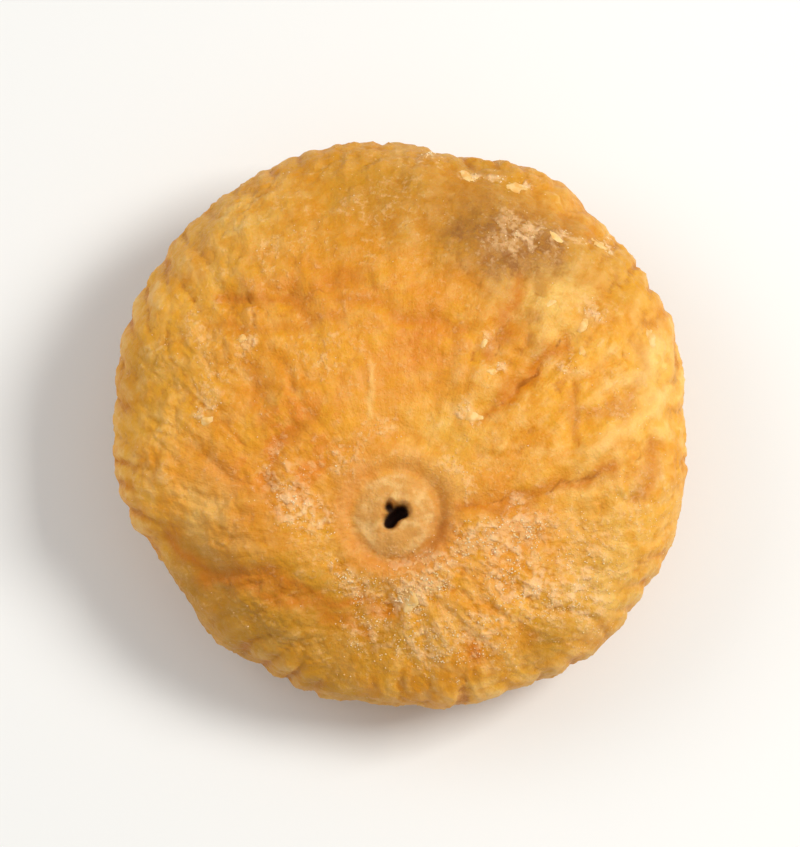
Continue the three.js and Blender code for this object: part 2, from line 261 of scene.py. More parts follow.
FOLD_DEPTH = {"size": 4, "middle": 0.75, "change": 0.5}
FOLD_LIP = 0.25  # the raised lip beside a fold, as a share of its depth


def distance_to_line(x, y, line):
    nearest = np.full_like(x, np.inf)
    for (x0, y0), (x1, y1) in zip(line, line[1:]):
        dx, dy = x1 - x0, y1 - y0
        along = np.clip(((x - x0) * dx + (y - y0) * dy) / (dx * dx + dy * dy), 0, 1)
        nearest = np.minimum(nearest, np.hypot(x - x0 - along * dx, y - y0 - along * dy))
    return nearest


def top_forms(p, up):
    height = np.zeros(len(p))
    for x, y, radius, rise in SWELLS:
        height += rise * bell(np.hypot(p[:, 0] - x, p[:, 1] - y), radius)
    wander = FOLD_WANDER["distance"] * noise_at(p, FOLD_WANDER["size"], 11)
    uneven = FOLD_DEPTH["middle"] + FOLD_DEPTH["change"] * noise_at(p, FOLD_DEPTH["size"], 12)
    for line, width, depth in CREASES:
        away = distance_to_line(p[:, 0] + wander, p[:, 1] - wander, line)
        height += depth * uneven * (FOLD_LIP * bell(away - 2 * width, width) - bell(away, width))
    return height * ease(0.05, 0.4, up)


print(len(SWELLS), "swellings and hollows,", len(CREASES), "folds and ridges")

# %% [markdown]
# ## Pleats, ribs and lumps
# The pleats are skin that became too long for what was left inside. They run over the rim from scar
# to eye, round on their backs and sharp in their valleys, as a sine wave without its sign is. Finer
# ribs run the same way, and lumps and wrinkles lie anywhere. A displacement texture could make all
# that, but it doesn't know where scar and eye are, and the addresses do.

# %% Make pleats, ribs and lumps
# each range is in degrees down from the scar: starts, full, still full, ends
PLEATS = {
    "count": 52, "range": (48, 84, 140, 174),
    "depth": 0.32, "low_depth": 0.7, "deepen": (88, 112),
}
INNER_PLEATS = {"count": 25, "depth": 0.25, "range": (17, 38, 55, 78)}
PLEAT_DRIFT = {"size": 9, "turns": 2.6}
PLEAT_PATCH = {"size": 7, "least": 0.2}
RIBS = (40, 10, 26, 0.34)  # count around, where they start and are full in degrees, height
RIB_SWAY, RIB_STEPS = 0.06, 2.4  # sway in radians, steps from one rib to the next per radian down
RIB_PATCH = {"size": 5, "least": 0.35}
LUMPS = [(0.9, 11, 31), (0.35, 5.5, 32)]  # height, size, seed
WRINKLE = {"size": 3.1, "height": 0.35, "highest": 0.5, "level": 0.2}
WRINKLE_PATCH = {"size": 9, "none": -0.35, "full": 0.45}


def within(limits, degrees):
    start, full, still_full, end = limits
    return ease(start, full, degrees) * ease(end, still_full, degrees)


def scallop(count, around, drift):
    return np.abs(np.sin(count * around / 2 + drift)) - 2 / math.pi


def pleats(down, around, p):
    degrees = np.degrees(down)
    drift = PLEAT_DRIFT["turns"] * noise_at(p, PLEAT_DRIFT["size"], 21)
    outer = within(PLEATS["range"], degrees) * scallop(PLEATS["count"], around, drift)
    inner = within(INNER_PLEATS["range"], degrees) * scallop(INNER_PLEATS["count"], around, -drift)
    low = ease(*PLEATS["deepen"], degrees)
    depth = PLEATS["depth"] + (PLEATS["low_depth"] - PLEATS["depth"]) * low
    uneven = PLEAT_PATCH["least"] + patches(p, PLEAT_PATCH["size"], 22)
    return uneven * (depth * outer + INNER_PLEATS["depth"] * inner)


def threads(kind, down, around, p, seed):
    count, start, full, height = kind
    swung = around + RIB_SWAY * noise_at(p, RIB_PATCH["size"], 43)
    radius = count / (2 * math.pi)
    wave = noise(radius * np.cos(swung), radius * np.sin(swung), RIB_STEPS * down, seed)
    patch = patches(p, RIB_PATCH["size"], seed - 2, least=RIB_PATCH["least"])
    return height * patch * ease(start, full, np.degrees(down)) * (np.abs(wave) - MEAN_NOISE)


def lumps(p):
    rough = patches(p, WRINKLE_PATCH["size"], 33, WRINKLE_PATCH["none"], WRINKLE_PATCH["full"])
    sharp = np.abs(noise_at(p, WRINKLE["size"], 34))
    wrinkle = np.minimum(WRINKLE["highest"], sharp) - WRINKLE["level"]
    return sum(bumps(p, *row) for row in LUMPS) + WRINKLE["height"] * rough * wrinkle


print(PLEATS["count"], "pleats and", RIBS[0], "ribs around")

# %% [markdown]
# ## Stem scar and eye
# The stem broke off and left a pale, corky button with a torn hole in it, sunk in a soft ring. The eye
# is the fig's other end, a pit that small scales close. Both mostly depend on the distance from their
# middle, so short formulas make them. The hole is torn along two short lines, like a small arrow.

# %% Make the stem scar and the eye
TEARS = [  # points from the scar's middle, half widths of the tear's floor and edge, depth
    ([(-0.55, -0.55), (0.45, 0.3)], 0.25, 0.95, 2.3),
    ([(-0.1, 0), (-0.6, 0.7)], 0.15, 0.75, 1.6),
]
SCAR = {"top": 1.1, "radius": 3.6, "rise": 0.65}
SCAR_RING = {"radius": 5.3, "width": 0.95, "rise": 0.25}
SCAR_GROOVE = {"radius": 3.9, "width": 0.55, "depth": 0.34, "uneven": 0.47}
DEEPEST_AT = -0.7  # the way from the scar's middle in which its groove is deepest, in radians
EYE_PIT = {"radius": 2.3, "floor": 0.8, "depth": 1.5}
EYE_DIMPLE = {"radius": 5, "depth": 0.4}
SCALES = 9
SCALE_RELIEF = {"width": 0.8, "rise": 0.35, "twist": 0.9}


def torn_hole(x, y):
    depth = np.zeros_like(x)
    for line, floor, edge, deep in TEARS:
        depth = np.maximum(depth, deep * (1 - ease(floor, edge, distance_to_line(x, y, line))))
    return depth


def stem_scar(x, y, torn=0):
    away = np.hypot(x, y)
    mound = SCAR["rise"] * (1 - ease(SCAR["top"], SCAR["radius"], away))
    ring = SCAR_RING["rise"] * bell(away - SCAR_RING["radius"], SCAR_RING["width"])
    lopsided = 1 + SCAR_GROOVE["uneven"] * np.cos(np.arctan2(y, x) - DEEPEST_AT)
    groove = SCAR_GROOVE["depth"] * lopsided * bell(away - SCAR_GROOVE["radius"], SCAR_GROOVE["width"])
    return mound + ring - groove - torn_hole(x + torn, y - torn)


def eye_pit(away, around):
    scale = np.abs(np.sin(SCALES * around / 2 + SCALE_RELIEF["twist"] * away))
    scales = SCALE_RELIEF["rise"] * scale * bell(away - EYE_PIT["radius"], SCALE_RELIEF["width"])
    pit = EYE_PIT["depth"] * (1 - ease(EYE_PIT["floor"], EYE_PIT["radius"], away))
    return scales - pit - EYE_DIMPLE["depth"] * bell(away, EYE_DIMPLE["radius"])


radii = np.array([0.0, 2.0, SCAR_GROOVE["radius"], SCAR_RING["radius"]])
scar_heights = stem_scar(radii, np.zeros(len(radii)))
print("scar heights at hole, button, groove and ring, in mm:", scar_heights.round(2))

# %% [markdown]
# ## Cracks of the skin
# Dry skin splits where it is bent: along three of the folds, and in some cracks as thin as a hair.
# Dark lines could be painted on it, but a real crack also catches the light with its edges. So each
# one is a narrow valley along a line of points, and patchy noise closes it here and there.

# %% Make the cracks
SPLIT_FOLDS = [4, 5, 6]  # the folds of CREASES whose skin split
SPLIT_SHARE, SPLIT_WIDTH = 0.4, 0.19  # how deep a split is, as a share of its fold's depth
HAIR_DEPTH, HAIR_WIDTH = 0.14, 0.16
CRACK_WANDER = 0.3  # small bends of a crack, on top of those of its fold
HAIR_CRACKS = [
    [(6.2, 9), (6.6, 11.2), (8.1, 12.4), (9.6, 12.2)],
    [(9, 6.6), (8.1, 4.9), (7.7, 3.3)],
    [(-13.6, 9.2), (-12.4, 5.6), (-13.7, 3.4)],
    [(10.2, 11.9), (10.3, 9.9), (12.6, 8.3)],
    [(17.4, -6.1), (19.4, -4.9), (20.6, -2.8)],
    [(-8.6, 8.2), (-7.2, 8.9), (-6.1, 8.4)],
    [(1, 13.2), (4.2, 12.6), (6.2, 9.2)],
]


def cracks(p, is_top):
    wander = FOLD_WANDER["distance"] * noise_at(p, FOLD_WANDER["size"], 11)
    x = p[:, 0] + (wander + CRACK_WANDER * noise_at(p, 0.9, 12))
    y = p[:, 1] + (CRACK_WANDER * noise_at(p, 0.8, 14) - wander)
    broken = patches(p, 2.2, 13, -0.5, 0.15)
    depth = np.zeros(len(p))
    lines = [(CREASES[n][0], SPLIT_SHARE * CREASES[n][2], SPLIT_WIDTH) for n in SPLIT_FOLDS]
    lines += [(line, HAIR_DEPTH, HAIR_WIDTH) for line in HAIR_CRACKS]
    for line, deep, width in lines:
        depth = np.maximum(depth, broken * deep * bell(distance_to_line(x, y, line), width))
    return np.where(is_top, depth, 0)


print(len(SPLIT_FOLDS), "split folds and", len(HAIR_CRACKS), "hair cracks")

# %% [markdown]
# ## Fine relief of the skin
# Seen close, the skin is a net of small wrinkles, with thin threads that run from scar to eye, and
# grainy where sugar sits under it. Bump mapping could fake this, but then the outline stays smooth and
# the light doesn't catch it well, so all that is over a third of a millimetre is real shape here. Only
# the finest grain is left to the material.

# %% Make the fine relief
THREADS = [(95, 22, 40, 0.23), (190, 44, 66, 0.17)]  # as RIBS, but finer
# the net's height, size and seed, and the size and seed of the bends in it
NET = [((0.34, 1.9, 46), (2.6, 51)), ((0.2, 0.9, 57), (1.4, 54))]
BEND = 0.4  # how far a bend pushes aside, as a share of its size
CALM_FINE_SCAR, CALM_FINE_EYE = (3.2, 6), (2.5, 4)  # smooth up to, full relief from
GRAIN = [(0.09, 0.7, 48), (0.06, 0.42, 49)]  # height, size, seed
CORK_GRAIN, CORK_NET = (0.16, 1.3, 62), (0.1, 0.8, 63)
PALE_RIDGE = [(-2.8, 2.6), (-2.6, 1), (-2.8, -1.9)]
PALE_RIDGE_RISE, PALE_RIDGE_WIDTH = 0.16, 0.3


def bent(p, size, seed):
    push = np.stack([noise_at(p, size, seed + n) for n in range(3)], axis=1)
    return p + BEND * size * push


def from_pale_ridge(p):
    return distance_to_line(p[:, 0] + 0.25 * noise_at(p, 1.5, 60), p[:, 1], PALE_RIDGE)


def fine_relief(p, down, around, away, is_top):
    calm = np.where(is_top, ease(*CALM_FINE_SCAR, away), ease(*CALM_FINE_EYE, away))
    fine = sum(threads(kind, down, around, p, 45 + n) for n, kind in enumerate(THREADS))
    net = sum(crinkles(bent(p, *bend), *row) for row, bend in NET)
    crumpled = patches(p, 6, 58, -0.2, 0.45, least=0.35)
    grainy = patches(p, 5, 47, -0.3, 0.4, least=0.4)
    grain = grainy * sum(bumps(p, *row) for row in GRAIN)
    ridge = PALE_RIDGE_RISE * bell(from_pale_ridge(p), PALE_RIDGE_WIDTH)
    corky = bumps(p, *CORK_GRAIN) + crinkles(p, *CORK_NET)
    scar = ease(5.6, SCAR["radius"], away) * ease(0.9, 1.6, away) * corky
    skin = calm * (fine + crumpled * net) + (0.35 + 0.65 * calm) * grain
    return skin + np.where(is_top, ridge + scar, 0)


print("threads around the skin:", [row[0] for row in THREADS])

# %% [markdown]
# ## A net of rings
# The skin is laid out in rings about the scar and the eye. Near these two a ring needs only a few
# points and at the rim it needs hundreds, so each ring has its own number, and two neighbours are
# zipped together: the next triangle always takes the shorter step. That keeps all triangles about
# equally small, which a sphere from the Add menu doesn't do.

# %% Lay out the rings
TOP_ROWS = {"count": 142, "end": 66, "closer": 1.25}  # ends in degrees down from the scar
SIDE_ROWS = {"count": 46, "end": 120}
UNDER_ROWS = {"count": 36, "closer": 1.5}  # 1 is even, and more is closer at the scar or the eye
TOP_SPACING, UNDER_SPACING = 0.25, 0.36
COARSER = (1.6, 2.4)  # between these radians down the spacing grows
FEWEST_AROUND = 12


def row_angles():
    tops, sides, unders = TOP_ROWS["count"], SIDE_ROWS["count"], UNDER_ROWS["count"]
    side_angle, under_angle = SIDE_ROWS["end"] - TOP_ROWS["end"], 180 - SIDE_ROWS["end"]
    top = [TOP_ROWS["end"] * (i / tops) ** TOP_ROWS["closer"] for i in range(1, tops + 1)]
    side = [TOP_ROWS["end"] + side_angle * i / sides for i in range(1, sides + 1)]
    under = [180 - under_angle * (1 - i / unders) ** UNDER_ROWS["closer"] for i in range(1, unders)]
    return [math.radians(row) for row in top + side + under]


def zip_rings(upper, lower):
    (start_a, count_a), (start_b, count_b) = upper, lower
    faces = []
    i = j = 0
    while i < count_a or j < count_b:
        a, b = start_a + i % count_a, start_b + j % count_b
        if j >= count_b or (i < count_a and (i + 1) * count_b < (j + 1) * count_a):
            i += 1
            faces.append((a, b, start_a + i % count_a))
        else:
            j += 1
            faces.append((a, b, start_b + j % count_b))
    return faces


def ring_net(rows):
    downs, arounds, rings = [], [], []
    start = 0
    for down in rows:
        fullness = SHOULDER if down < math.pi / 2 else BELLY
        length = 2 * math.pi * math.sin(down) ** (2 / fullness) * (WIDTH + DEPTH) / 4
        spacing = TOP_SPACING + (UNDER_SPACING - TOP_SPACING) * float(ease(*COARSER, down))
        count = max(FEWEST_AROUND, round(length / spacing))
        downs.append(np.full(count, down))
        arounds.append(2 * math.pi * np.arange(count) / count)
        rings.append((start, count))
        start += count
    first, last = rings[0], rings[-1]
    faces = [(start, first[0] + i, first[0] + (i + 1) % first[1]) for i in range(first[1])]
    for upper, lower in zip(rings, rings[1:]):
        faces += zip_rings(upper, lower)
    faces += [(start + 1, last[0] + (i + 1) % last[1], last[0] + i) for i in range(last[1])]
    down = np.concatenate(downs + [[0.0, math.pi]])
    return down, np.concatenate(arounds + [[0.0, 0.0]]), faces


skin_down, skin_around, skin_faces = ring_net(row_angles())
print(len(skin_down), "points and", len(skin_faces), "triangles")

# %% [markdown]
# ## The whole skin
# Now all heights come together. The relief fades out at the flat spot that the fig rests on, and
# nothing may reach below the surface. The function also returns what the colours need later.

# %% Put the skin together
CALM_SCAR, CALM_EYE = (3.4, 7), (2.5, 5)  # smooth up to, full relief from
TORN_EDGE = (0.12, 0.7, 71)  # how far, size and seed of what makes the hole's edge ragged


def fig_surface(down, around):
    point, normal, up = smooth_fig(down, around)
    is_top = up > 0
    from_x, from_y = (point[:, :2] - np.where(is_top[:, None], STEM, EYE)).T
    away = np.hypot(from_x, from_y)
    calm = np.where(is_top, ease(*CALM_SCAR, away), ease(*CALM_EYE, away))
    folds = pleats(down, around, point) + threads(RIBS, down, around, point, 44)
    torn = bumps(point, *TORN_EDGE)
    scar_or_eye = np.where(is_top, stem_scar(from_x, from_y, torn), eye_pit(away, around))
    height = calm * (lumps(point) + folds) + np.where(is_top, top_forms(point, up), 0) + scar_or_eye
    fine = fine_relief(point, down, around, away, is_top)
    crack = cracks(point, is_top)
    from_flat = np.hypot(point[:, 0] - FLAT_SPOT["x"], point[:, 1] - FLAT_SPOT["y"])
    rounded = np.where(is_top, 1, ease(FLAT_SPOT["inner"], FLAT_SPOT["outer"], from_flat))
    out = point + normal * ((height + fine - crack) * rounded)[:, None]
    out[:, 2] = np.maximum(out[:, 2], 0)
    return {
        "out": out, "smooth": point, "normal": normal, "up": up, "is_top": is_top, "away": away,
        "folds": calm * folds, "fine": fine, "crack": crack, "around": around, "down": down,
    }


skin = fig_surface(skin_down, skin_around)
low, high = skin["out"].min(axis=0), skin["out"].max(axis=0)
SHIFT = np.array([(low[0] + high[0]) / 2, (low[1] + high[1]) / 2, 0])
print("skin size in mm:", (high - low).round(2), "and its middle:", SHIFT.round(2))

# %% [markdown]
# ## Where the skin differs
# The real skin isn't one colour. It is deep orange, here called amber, where the flesh shows through,
# brown at a bruise, and it has a bloom of sugar in patches. Ochre is partly the skin's dull olive tone
# and partly painted shade, low on the side and at the rims, where the skin turns away from the light.
# Pale is partly skin that dried paler in thick folds and partly a painted highlight, most of all on the
# right rim. A painter would mask these places by hand. Here each is a soft round spot with a ragged
# edge, kept as one number per point, which the material reads. Numbers on points also survive when the
# mesh is exported.

# %% Place the spots
SPOTS = {  # x, y, radius, strength
    "amber": [
        (-9, -3, 5, 0.8), (-11, 9, 3.5, 0.6), (0, 7.5, 5, 0.55), (3.5, -14.5, 4, 0.5),
        (9, -9.5, 4, 0.55), (-12, -9, 5, 0.6), (-4, 16, 4, 0.3), (13, -13, 4, 0.35), (4, 4, 4, 0.4),
        (-17, -6, 3, 0.4), (6.2, -21.2, 0.8, 1.2), (10.5, -20.3, 0.9, 1.2), (-1, 1, 4, 0.35),
        (-6.5, 9.5, 3, 0.5),
    ],
    "bruise": [
        (9.8, 15.4, 3.6, 1.15), (5, 14.8, 3.2, 0.65), (12.8, 12.6, 2.6, 0.9), (8.4, 11.6, 2.6, 0.9),
        (0, 18, 4, 0.35), (10.8, 6.6, 1.5, 0.5), (11.6, 3.9, 1.2, 0.7), (8.2, 4.8, 1, 0.6),
        (-16, -15, 3.5, 0.35), (5.2, 13.4, 1.8, 0.35), (7, 18.5, 3, 0.35), (14.4, 16, 2.4, 0.3),
    ],
    # ochre: partly the skin's olive tone, partly painted shade at the rims
    "ochre": [
        (-12, -18.5, 6, 0.8), (-4, -21, 5, 0.7), (-18, -14, 4, 0.6), (12, -20.5, 2.2, 0.6),
        (6, 19, 6, 0.6), (-4, 19, 7, 0.55), (-21, 3, 4, 0.4), (-14, 15, 6, 0.35), (17, 11, 4, 0.4),
        (17, -17, 5, 0.4),
    ],
    # pale: partly paler skin, partly a painted highlight on the right rim
    "pale": [
        (10.5, 9.5, 2.6, 0.55), (13.6, 9.8, 2, 0.4), (22.3, 3.6, 2.6, 0.9), (21.5, -1.5, 2.4, 0.6),
        (17, -15.5, 3, 0.6), (13.5, 7, 3, 0.4), (-17, -9, 2.6, 0.5), (4, -3, 4, 0.3),
        (16, -9, 4, 0.4), (-14, 16, 4, 0.3),
    ],
    "bloom": [
        (-9, -9.2, 1.7, 0.85), (-10.5, -6, 2.6, 0.45), (-5.1, -14.6, 1.2, 0.7),
        (0.5, -17.4, 0.95, 1.4), (-0.6, -15.4, 2.4, 0.5), (2.7, -14.9, 1.6, 0.7),
        (5.2, -12.6, 1.9, 0.65), (8.2, -13.4, 2.4, 0.6), (10.5, -10.5, 2.2, 0.5),
        (11, -16.4, 2.6, 0.55), (15.5, -12.5, 3, 0.4), (15.5, -17, 2.6, 0.55),
        (2, -20.8, 2.8, 0.55), (-3, -19.8, 2.4, 0.4), (7, -19.5, 2.6, 0.5), (2.3, 22.3, 0.9, 1),
        (5.9, 20.7, 0.8, 1.3), (8.1, 21.1, 0.8, 1), (10.9, 20.4, 0.9, 1.4), (14.4, 14.9, 0.9, 1.2),
        (17.4, 14.8, 0.8, 1), (10.2, 15.2, 2, 0.7), (12.4, 13.9, 1.4, 0.55), (8.2, 13.6, 1.4, 0.45),
        (5.9, -1.7, 0.9, 1.3), (-17.1, -2, 0.8, 1.1), (-13.8, 4.7, 0.7, 1), (8, 2.2, 0.9, 0.8),
        (16.2, 7.8, 1.2, 0.7), (14, 3, 1, 0.6), (7.4, 5, 0.9, 0.6), (-18, 6, 2.6, 0.3),
        (18, 0, 3, 0.25), (-2, 17, 5, 0.22), (-12, 13, 4, 0.25), (20, -9, 3, 0.3),
        (-5.2, -5.4, 1.8, 0.5), (-1.8, -3.4, 1.6, 0.4), (4.6, -6, 1.3, 0.55), (5.4, -8.6, 0.9, 0.6),
        (-7, -11.5, 1.5, 0.5), (-4.2, -16, 0.9, 0.8), (2.4, -16, 0.9, 0.9), (9, -11, 1.4, 0.6),
        (-15.5, 0.5, 2.5, 0.35), (-6, 4, 3, 0.25),
    ],
}
SPOT_BENDS, MOST = 3, 1.5  # size of the bends in a spot's edge, the most that spots add up to


def spots(name, p, up, seed):
    ragged = bent(p, SPOT_BENDS, seed)
    total = np.zeros(len(p))
    for x, y, radius, strength in SPOTS[name]:
        total += strength * bell(np.hypot(ragged[:, 0] - x, ragged[:, 1] - y), radius)
    return ease(-0.5, 0.1, up) * np.minimum(total, MOST)


print(sum(len(rows) for rows in SPOTS.values()), "spots of", len(SPOTS), "kinds")

# %% [markdown]
# ## Marks that the relief leaves
# Colour also follows the form: a fold is painted darker, as shade, a ridge is painted paler, as a
# highlight, the scar's button is corky, and its groove is painted dark, as shade. Masks for these could
# be baked from the mesh. It is shorter to keep what the formulas know already, so each of them becomes
# one more number per point.

# %% Mark the skin
FULL_SHADE_DEPTH = 0.4  # a fold this deep, or deeper, is coloured in full
RAGGED_EDGE = 0.35  # how far the marks about scar and eye swing in and out
LOW_ON_THE_SIDE, SIDE_FROM = (75, 118), (58, 80)  # degrees down where they start and are full
FULL_CRACK_DEPTH = 0.2
BUTTON_END, RING_START, RING_END = (3.2, 3.9), (3.4, 4), (6.6, 4.6)  # radii about the scar's middle
# where the scar's groove gets its painted shade
GROOVE_SHADE_AT, GROOVE_SHADE_WIDTH = 3.85, 0.5
EYE_END = (2, 4.6)


# painted shade along the folds, and painted highlight along the ridges and the pale ridge
def fold_shade(p, is_top):
    q = bent(p, 2.2, 61)
    valley, ridge = np.zeros(len(p)), np.zeros(len(p))
    for line, width, deep in CREASES:
        near = bell(distance_to_line(q[:, 0], q[:, 1], line), 0.65 * width)
        strength = deep / FULL_SHADE_DEPTH
        valley = np.maximum(valley, min(1, strength) * near)
        ridge = np.maximum(ridge, -strength * near)
    ridge = np.maximum(ridge, 0.9 * bell(from_pale_ridge(p), 0.2))
    return valley * is_top, ridge * is_top


def skin_marks(skin):
    p, away, is_top, degrees = skin["smooth"], skin["away"], skin["is_top"], np.degrees(skin["down"])
    edge = away + RAGGED_EDGE * noise_at(p, 1.6, 83)
    low = ease(*LOW_ON_THE_SIDE, degrees)
    marks = {name: spots(name, p, skin["up"], 90 + 5 * n) for n, name in enumerate(SPOTS)}
    # painted shade low on the side, where the skin turns down
    marks["ochre"] = marks["ochre"] + 0.55 * low * (0.6 + 0.5 * noise_at(p, 6, 84))
    marks["bloom"] = marks["bloom"] + 0.5 * low * ease(0.15, 0.6, noise_at(p, 5, 85))
    side = ease(*SIDE_FROM, degrees)
    # the relief mark is low in valleys and high on backs; it drives painted shade and painted
    # highlight, stronger on the side
    marks["relief"] = 0.5 + 1.4 * skin["fine"] + (1.1 + 1.2 * side) * skin["folds"]
    marks["crack"] = skin["crack"] / FULL_CRACK_DEPTH
    fold, marks["ridge"] = fold_shade(p, is_top)
    # painted shade in the folds, and in the pleats' valleys on the side
    marks["fold"] = np.maximum(fold, 0.7 * side * ease(0.05, 0.3, -skin["folds"]))
    marks["button"] = np.where(is_top, 1 - ease(*BUTTON_END, edge), 0)
    marks["ring"] = np.where(is_top, ease(*RING_START, edge) * ease(*RING_END, edge), 0)
    # painted shade in the scar's groove, stronger on one side as a shadow crescent
    shadow_crescent = 0.45 + 0.55 * np.cos(skin["around"] - DEEPEST_AT)
    marks["groove"] = np.where(is_top, bell(edge - GROOVE_SHADE_AT, GROOVE_SHADE_WIDTH) * shadow_crescent, 0)
    # the hole's mark, which is painted near black as shade
    torn = bumps(p, *TORN_EDGE)
    from_scar = p - np.append(STEM, 0) + torn[:, None] * [1, -1, 0]
    marks["hole"] = np.where(is_top, ease(0.6, 1.7, torn_hole(from_scar[:, 0], from_scar[:, 1])), 0)
    marks["eye"] = np.where(is_top, 0, 1 - ease(*EYE_END, edge))
    return marks


marks = skin_marks(skin)
print("marked places:", ", ".join(sorted(marks)))

# %% [markdown]
# ## The skin as a Blender mesh
# `from_pydata` turns the points and triangles into a mesh. Each mark becomes an attribute on the
# points. One more attribute, the flow, says how far around and down a point is, so that a texture can
# run from scar to eye. The mesh then replaces the solid fig, whose form it keeps.

# %% Make the skin's mesh
def make_piece(name, points_mm, faces, body="root"):
    mesh = bpy.data.meshes.new(name)
    mesh.from_pydata(((points_mm - SHIFT) * MM).tolist(), [], faces)
    mesh.shade_smooth()
    piece = bpy.data.objects.new(name, mesh)
    bpy.context.scene.collection.objects.link(piece)
    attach(piece, body)
    return piece


def write_mark(piece, name, kind, key, values):
    attribute = piece.data.attributes.new(name, kind, "POINT")
    attribute.data.foreach_set(key, values.astype(np.float32).ravel())


fig_skin = make_piece("fig_skin_fine", skin["out"], skin_faces)
for name, values in marks.items():
    write_mark(fig_skin, name, "FLOAT", "value", values)
FLOW_AROUND, FLOW_DOWN = 30, 25  # near the fig's radius, so a step of flow is about a millimetre
flow_x, flow_y = FLOW_AROUND * np.cos(skin_around), FLOW_AROUND * np.sin(skin_around)
flow = np.stack([flow_x, flow_y, FLOW_DOWN * skin_down], axis=1)
write_mark(fig_skin, "flow", "FLOAT_VECTOR", "vector", flow)
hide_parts("fig")
print("fig_skin_fine:", len(fig_skin.data.polygons), "triangles")

# %% [markdown]
# ## A short way to write materials
# A material is a net of nodes. Clicking them together is pleasant, but in a script it gets long, so
# this small helper adds a node, sets its values and joins its inputs in one line.

# %% Write the material helper
def linear(red, green, blue):
    def channel(value):
        value = value / 255
        return value / 12.92 if value <= 0.04045 else ((value + 0.055) / 1.055) ** 2.4

    return (channel(red), channel(green), channel(blue), 1)


class Finish:
    def __init__(self, name):
        self.material = bpy.data.materials.new(name)
        self.material.use_nodes = True
        self.tree = self.material.node_tree
        self.surface = self.tree.nodes["Principled BSDF"]

    def put(self, value, socket):
        if isinstance(value, bpy.types.NodeSocket):
            self.tree.links.new(value, socket)
        else:
            socket.default_value = value

    def node(self, kind, inputs=None, **settings):
        node = self.tree.nodes.new(kind)
        for key, value in settings.items():
            setattr(node, key, value)
        for key, value in (inputs or {}).items():
            self.put(value, node.inputs[key])
        return node

    def mark(self, name):
        return self.node("ShaderNodeAttribute", attribute_name=name).outputs["Fac"]

    def place(self):
        return self.node("ShaderNodeTexCoord").outputs["Object"]

    def grain(self, size_mm, detail=2, roughness=0.5):
        inputs = {
            "Vector": self.place(), "Scale": 1 / (size_mm * MM),
            "Detail": detail, "Roughness": roughness,
        }
        return self.node("ShaderNodeTexNoise", inputs).outputs["Fac"]

    def flowing(self, stretch, detail=2):
        flow = self.node("ShaderNodeAttribute", attribute_name="flow").outputs["Vector"]
        stretched = self.node("ShaderNodeVectorMath", {0: flow, 1: stretch}, operation="MULTIPLY")
        inputs = {"Vector": stretched.outputs[0], "Scale": 1, "Detail": detail}
        return self.node("ShaderNodeTexNoise", inputs).outputs["Fac"]

    def soft(self, value, low, high, to_low=0, to_high=1):
        inputs = {
            "Value": value, "From Min": low, "From Max": high,
            "To Min": to_low, "To Max": to_high,
        }
        mapped = self.node("ShaderNodeMapRange", inputs, interpolation_type="SMOOTHSTEP")
        return mapped.outputs["Result"]

    def maths(self, operation, a, b):
        return self.node("ShaderNodeMath", {0: a, 1: b}, operation=operation).outputs[0]

    def plus(self, a, b):
        return self.maths("ADD", a, b)

    def times(self, a, b):
        return self.maths("MULTIPLY", a, b)

    def mix(self, share, a, b):
        node = self.node("ShaderNodeMix", data_type="RGBA")
        self.put(share, node.inputs[0])
        self.put(a, node.inputs[6])
        self.put(b, node.inputs[7])
        return node.outputs[2]

    def finish(self, piece, **surface):
        for key, value in surface.items():
            self.put(value, self.surface.inputs[key.replace("_", " ")])
        piece.data.materials.clear()
        piece.data.materials.append(self.material)
        print(self.material.name, "has", len(self.tree.nodes), "nodes")


print("golden in Blender's own numbers:", [round(v, 3) for v in linear(240, 168, 70)[:3]])

# %% [markdown]
# ## The skin's colour
# The skin is like wax paper over syrup. The relief itself picks the colour first: deeper orange in its
# valleys, partly where the thick syrup shows and partly as painted shade, and straw-coloured on its
# backs, partly where it dried and partly as a painted highlight. Then blotches of several sizes break
# it up, and the marked places are laid over it one by one, from the broad ones to the sugar, which is
# on top of everything.

# %% Colour the skin
dried = Finish("dried_fig_skin")
blotch = dried.soft(dried.grain(6, 3), 0.38, 0.62)
mottle = dried.soft(dried.grain(1.9, 3, 0.55), 0.4, 0.6)
island = dried.soft(dried.grain(1.3, 3, 0.55), 0.42, 0.68)
syrup = dried.soft(dried.grain(1.7, 3, 0.6), 0.5, 0.7)
streak = dried.soft(dried.flowing((0.8, 0.8, 0.16), 1), 0.4, 0.68)
speck = dried.grain(0.5, 3, 0.6)
relief = dried.plus(dried.mark("relief"), dried.soft(speck, 0.3, 0.7, -0.1, 0.1))
golden = dried.mix(blotch, linear(222, 144, 20), linear(234, 166, 36))
golden = dried.mix(dried.times(mottle, 0.5), golden, linear(238, 178, 66))
# valleys darker, backs paler: partly the syrup and the dried skin, partly painted shade and painted
# highlight
valley = dried.mix(mottle, linear(192, 118, 6), linear(210, 134, 12))
back = dried.mix(mottle, linear(238, 174, 62), linear(244, 196, 112))
colour = dried.mix(dried.soft(relief, 0.16, 0.5), valley, golden)
colour = dried.mix(dried.soft(relief, 0.55, 0.95, 0, 0.8), colour, back)
colour = dried.mix(dried.times(island, 0.42), colour, linear(245, 194, 112))
colour = dried.mix(dried.times(streak, 0.28), colour, linear(208, 132, 10))
colour = dried.mix(dried.times(syrup, 0.55), colour, linear(222, 144, 2))
amber = dried.times(dried.mark("amber"), dried.soft(mottle, 0, 1, 0.45, 1))
colour = dried.mix(amber, colour, linear(220, 126, 14))
